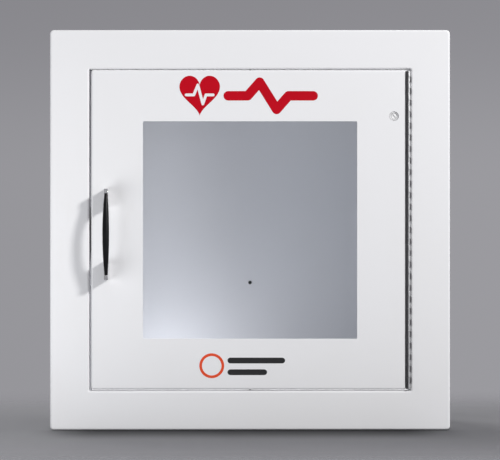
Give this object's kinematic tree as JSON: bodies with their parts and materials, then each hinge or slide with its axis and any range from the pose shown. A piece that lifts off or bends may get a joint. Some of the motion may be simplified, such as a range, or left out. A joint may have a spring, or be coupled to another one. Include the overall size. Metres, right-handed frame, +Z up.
{
  "type": "defibrillator wall cabinet",
  "caption": "White sheet steel wall cabinet for a defibrillator, with a windowed piano-hinged door, bow handle, magnetic catch and door alarm.",
  "frame": {"origin": "bottom centre of the whole object's box, the handle included, on the surface it stands on", "axes": "+Z up, +Y into the wall (the door faces -Y), +X to the right as seen from the front"},
  "size_m": [0.4444, 0.1916, 0.4445],
  "materials": {
    "powder_coat": "white powder coat with a fine orange-peel skin, light fingerprints near the handle",
    "zinc": "bright zinc plate, faintly mottled, satin",
    "chrome": "polished chrome plate",
    "black_plastic": "black moulded plastic, satin",
    "black_rubber": "black moulded rubber",
    "white_plastic": "white moulded plastic, satin",
    "grey_foam": "dark grey closed-cell foam tape",
    "clear_acrylic": "clear cast acrylic sheet, polished",
    "ferrite": "dark sintered ferrite",
    "circuit_board": "green solder mask",
    "red_vinyl": "red self-adhesive vinyl film",
    "orange_print": "orange-red screen print",
    "black_print": "black screen print",
    "battery_jacket": "dark lacquered steel jacket",
    "reed_glass": "thin greenish glass tube"
  },
  "bodies": {
    "cabinet": {"cabinet_shell": "powder_coat", "back_panel": "powder_coat", "centre_hole_plug": "black_plastic", "door_stop_top": "powder_coat", "door_stop_bottom": "powder_coat", "bumper_top": "black_rubber", "bumper_bottom": "black_rubber", "hinge_leaf_frame": "zinc", "hinge_pin": "zinc", "hinge_rivet_frame_1": "zinc", "hinge_rivet_frame_2": "zinc", "hinge_rivet_frame_3": "zinc", "hinge_rivet_frame_4": "zinc", "catch_bracket": "zinc", "catch_case": "white_plastic", "catch_magnet": "ferrite", "catch_pole_outer": "zinc", "catch_pole_inner": "zinc", "catch_screw_lower": "zinc", "catch_screw_upper": "zinc", "alarm_magnet": "white_plastic", "alarm_magnet_screw": "zinc"},
    "door": {"door_panel": "powder_coat", "window_gasket": "grey_foam", "window_pane": "clear_acrylic", "window_retainer": "zinc", "retainer_nut_1": "zinc", "retainer_nut_2": "zinc", "retainer_nut_3": "zinc", "retainer_nut_4": "zinc", "retainer_nut_5": "zinc", "retainer_nut_6": "zinc", "hinge_leaf_door": "zinc", "hinge_rivet_door_1": "zinc", "hinge_rivet_door_2": "zinc", "hinge_rivet_door_3": "zinc", "hinge_rivet_door_4": "zinc", "handle_bow": "chrome", "handle_grip": "black_plastic", "handle_screw_lower": "zinc", "handle_screw_upper": "zinc", "strike_plate": "zinc", "alarm_tape": "grey_foam", "alarm_base": "white_plastic", "alarm_cover": "white_plastic", "alarm_cover_screw_lower": "zinc", "alarm_cover_screw_upper": "zinc", "alarm_board": "circuit_board", "alarm_battery": "battery_jacket", "battery_connector": "black_plastic", "alarm_buzzer": "black_plastic", "reed_switch": "reed_glass", "key_switch_body": "white_plastic", "heart_decal": "red_vinyl", "pulse_decal": "red_vinyl", "label_ring": "orange_print", "label_bar_upper": "black_print", "label_bar_lower": "black_print"},
    "key_rotor": {"key_switch_core": "white_plastic"}
  },
  "joints": [
    {"name": "door_hinge", "type": "hinge", "parent": "cabinet", "child": "door", "pos_m": [0.176, -0.0693, 0.22225], "axis": [0, 0, 1], "range_deg": [0, 165]},
    {"name": "key_switch_turn", "type": "hinge", "parent": "door", "child": "key_rotor", "pos_m": [0.1601, -0.0693, 0.34875], "axis": [0, 1, 0], "range_deg": [0, 90]}
  ]
}
